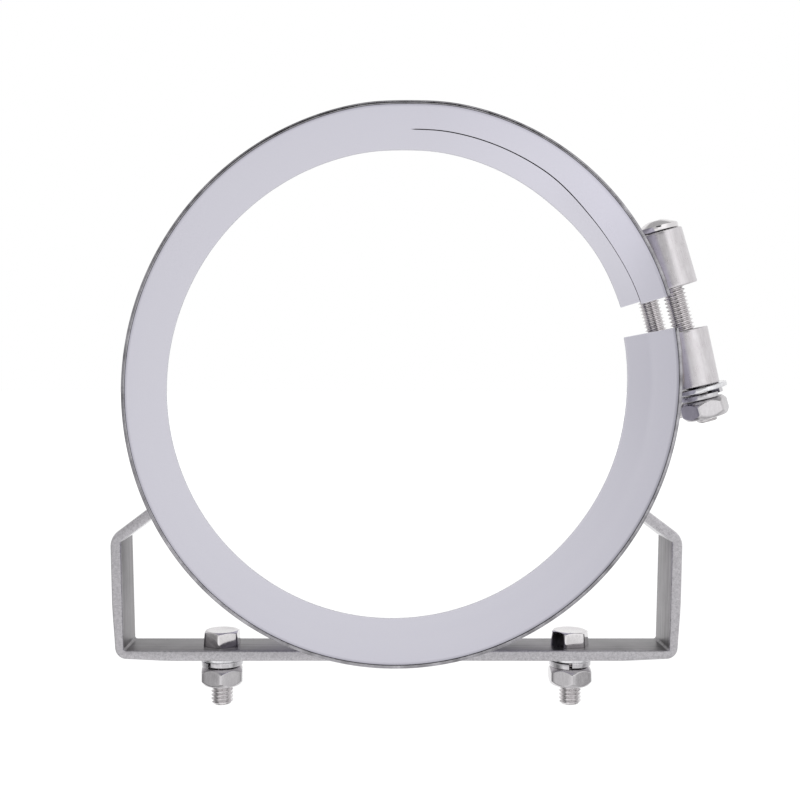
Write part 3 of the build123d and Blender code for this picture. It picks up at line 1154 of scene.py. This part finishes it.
# Darker than the bolt's steel: painted shade in the thread roots.
root_painted_shade_steel = steel(
    "bolt_thread_root_painted_shade", (0.38, 0.36, 0.365), (0.60, 0.58, 0.59), (0.20, 0.34),
    grain=(1500, 1500, 900), blotch=300.0, bump=0.08,
)
bolt_steel = steel(
    "bolt_cold_formed", (0.62, 0.60, 0.61), (0.78, 0.76, 0.77), (0.08, 0.20),
    grain=(1500, 1500, 900), blotch=300.0, bump=0.08,
)
nut_steel = steel(
    "nut_machined", (0.47, 0.455, 0.47), (0.60, 0.585, 0.60), (0.14, 0.26),
    grain=(1800, 1800, 500), blotch=260.0, bump=0.08,
)
washer_steel = steel(
    "washer_stamped", (0.60, 0.60, 0.62), (0.80, 0.80, 0.82), (0.12, 0.26),
    grain=(1800, 1800, 600), blotch=240.0, bump=0.10,
)
spring_steel = steel(
    "spring_washer_plain", (0.44, 0.43, 0.45), (0.68, 0.67, 0.69), (0.16, 0.30),
    grain=(1500, 1500, 700), blotch=280.0, bump=0.12,
)


# ---------------------------------------------------------------- studio

def stage_piece(name, bm, material):
    """A stage object from a mesh in metres."""
    mesh = bpy.data.meshes.new(name)
    bm.to_mesh(mesh)
    bm.free()
    mesh.materials.append(material)
    piece = bpy.data.objects.new(name, mesh)
    scene.collection.objects.link(piece)
    return piece


def flat_sheet(name, centre, x_half, y_half, material):
    """A plain level stage sheet."""
    bm = bmesh.new()
    corners = [(-x_half, -y_half, 0), (x_half, -y_half, 0), (x_half, y_half, 0), (-x_half, y_half, 0)]
    bm.faces.new([bm.verts.new(corner) for corner in corners])
    sheet = stage_piece(name, bm, material)
    sheet.location = centre
    return sheet


def stage_material(name, color, glow=0.0):
    """A matt material for the stage."""
    material = bpy.data.materials.new(name)
    material.use_nodes = True
    shader = material.node_tree.nodes["Principled BSDF"]
    shader.inputs["Base Color"].default_value = (*color, 1)
    shader.inputs["Roughness"].default_value = 1.0
    shader.inputs["Specular IOR Level"].default_value = 0.0
    shader.inputs["Emission Color"].default_value = (1, 1, 1, 1)
    shader.inputs["Emission Strength"].default_value = glow
    return material


def tent_material(name, levels):
    """A glow that is brighter and darker by its azimuth."""
    material = bpy.data.materials.new(name)
    material.use_nodes = True
    tree = material.node_tree
    tree.nodes.clear()
    place = add_node(tree, "ShaderNodeTexCoord")
    split = add_node(tree, "ShaderNodeSeparateXYZ")
    tree.links.new(place.outputs["Object"], split.inputs[0])
    flip = add_node(tree, "ShaderNodeMath", operation="MULTIPLY")
    flip.inputs[1].default_value = -1
    tree.links.new(split.outputs["Y"], flip.inputs[0])
    azimuth = add_node(tree, "ShaderNodeMath", operation="ARCTAN2")
    tree.links.new(split.outputs["X"], azimuth.inputs[0])
    tree.links.new(flip.outputs[0], azimuth.inputs[1])
    share = map_range(tree, azimuth.outputs[0], (-math.pi, math.pi), (0.0, 1.0))
    ramp = add_node(tree, "ShaderNodeValToRGB")
    stops = ramp.color_ramp.elements
    while len(stops) < len(levels):
        stops.new(1.0)
    for stop, (degrees, level) in zip(stops, levels):
        stop.position = (degrees + 180) / 360
        stop.color = (level / 2, level / 2, level / 2, 1)
    tree.links.new(share, ramp.inputs[0])
    glow = add_node(tree, "ShaderNodeEmission", Strength=2.0)
    tree.links.new(ramp.outputs[0], glow.inputs["Color"])
    output = add_node(tree, "ShaderNodeOutputMaterial")
    tree.links.new(glow.outputs[0], output.inputs["Surface"])
    return material


def make_tent():
    """The tent round the clamp, which only reflections see: wall, roof, and floor with a low skirt."""
    parts = (
        ("wall", TENT_WALL_LEVELS, ((TENT_R, TENT_SKIRT), (TENT_R, TENT_HEIGHT))),
        ("roof", TENT_ROOF_LEVELS, ((TENT_R, TENT_HEIGHT), (TENT_HUB, TENT_HEIGHT))),
        ("floor", TENT_FLOOR_LEVELS, ((TENT_HUB, TENT_FLOOR), (TENT_R, TENT_FLOOR), (TENT_R, TENT_SKIRT))),
    )
    for part, levels, rings in parts:
        bm = bmesh.new()
        grid(bm, [[polar(radius, angle, z) for angle in spaced(-180, 180, 96)] for radius, z in rings])
        name = f"tent_{part}"
        tent = stage_piece(name, bm, tent_material(name, levels))
        tent.visible_camera = False
        tent.visible_shadow = False


def build_studio():
    """A pale floor that glows a little, with a tent and a dark card that only reflections see."""
    floor_z = cad_box[0][2]
    white = stage_material("floor_white", (0.2, 0.2, 0.2), FLOOR_GLOW)
    floor = flat_sheet("floor", (0, 0, floor_z), FLOOR_HALF, FLOOR_HALF, white)
    floor.visible_glossy = False
    black = stage_material("card_black", (0.01, 0.01, 0.01))
    card = flat_sheet("dark_card", CARD_PLACE, *CARD_HALF, black)
    card.rotation_euler = (math.radians(90), 0, 0)
    card.visible_camera = False
    card.visible_shadow = False
    make_tent()
    world = bpy.data.worlds.new("tent")
    world.use_nodes = True
    world.node_tree.nodes["Background"].inputs["Color"].default_value = (1, 1, 1, 1)
    world.node_tree.nodes["Background"].inputs["Strength"].default_value = 1.0
    scene.world = world
    scene.view_settings.view_transform = "Standard"


def add_camera():
    """The camera looks straight along the pipe."""
    data = bpy.data.cameras.new("camera")
    data.lens = LENS
    data.sensor_width = SENSOR
    data.shift_x, data.shift_y = LENS_SHIFT
    data.clip_start = 0.01
    camera = bpy.data.objects.new("camera", data)
    camera.location = CAMERA_PLACE
    camera.rotation_euler = (math.radians(90), 0, 0)
    scene.collection.objects.link(camera)
    scene.camera = camera


# ---------------------------------------------------------------- assembly

make_band()
for end, body in (("upper", "upper_band"), ("lower", "clamp_base")):
    make_lug_welds(end, body)
    for side in ("front", "rear"):
        make_lug(end, side, body)
for side in ("front", "rear"):
    place = clamp_place(side)
    make_clamp_bolt(side)
    make_flat_washer(f"clamp_flat_washer_{side}", "clamp_base", place, CLAMP_WASHER_SHIFT)
    make_spring_washer(f"clamp_spring_washer_{side}", "clamp_base", place, SPLIT_TURNS[side], CLAMP_WIRE)
    make_nut(f"clamp_nut_{side}", f"nut_{side}", place, NUT_TURNS[side])
for side in ("left", "right"):
    place = base_place(side)
    make_base_bolt(side)
    make_flat_washer(f"base_flat_washer_{side}", f"washers_{side}", place)
    make_spring_washer(f"base_spring_washer_{side}", f"washers_{side}", place, SPLIT_TURNS[side], BASE_WIRE)
    make_nut(f"base_nut_{side}", f"nut_{side}", place, NUT_TURNS[side])
make_foot()
make_foot_welds()
build_studio()
add_camera()
